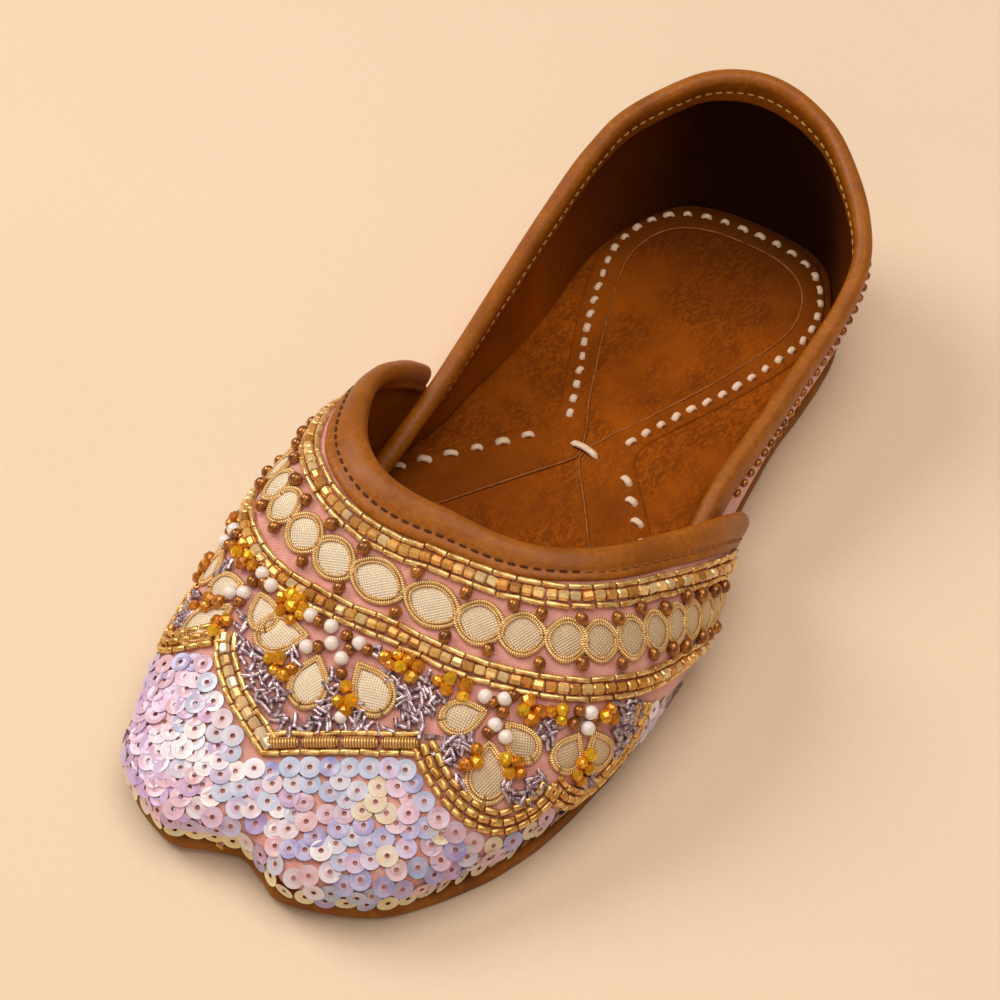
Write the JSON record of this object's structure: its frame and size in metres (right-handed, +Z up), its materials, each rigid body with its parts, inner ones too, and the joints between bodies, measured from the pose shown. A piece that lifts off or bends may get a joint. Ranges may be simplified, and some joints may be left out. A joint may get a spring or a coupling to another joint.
{
  "type": "mojari shoe",
  "caption": "Flat slip-on leather shoe with a notched toe, a beaded and sequinned vamp with ears over a heel quarter, folded edge bindings, insole and outsole; left foot.",
  "frame": {"origin": "middle of the shoe's bounding box on the floor plane the sole rests on", "axes": "+Z up; -Y towards the toe, +Y towards the heel; +X towards the outer side of the left foot"},
  "size_m": [0.103, 0.2414, 0.0527],
  "materials": {
    "sole_leather": "tan leather, waxed edge",
    "insole_leather": "brown leather, matt, fine grain",
    "upper_cloth": "pink cloth under beads, sequins and metal-thread embroidery, brown leather lining",
    "binding_leather": "tan leather, folded and stitched, low sheen"
  },
  "bodies": {
    "root": {"outsole": "sole_leather", "insole": "insole_leather", "upper": "upper_cloth", "throat_binding": "binding_leather", "collar_binding": "binding_leather"}
  },
  "joints": []
}
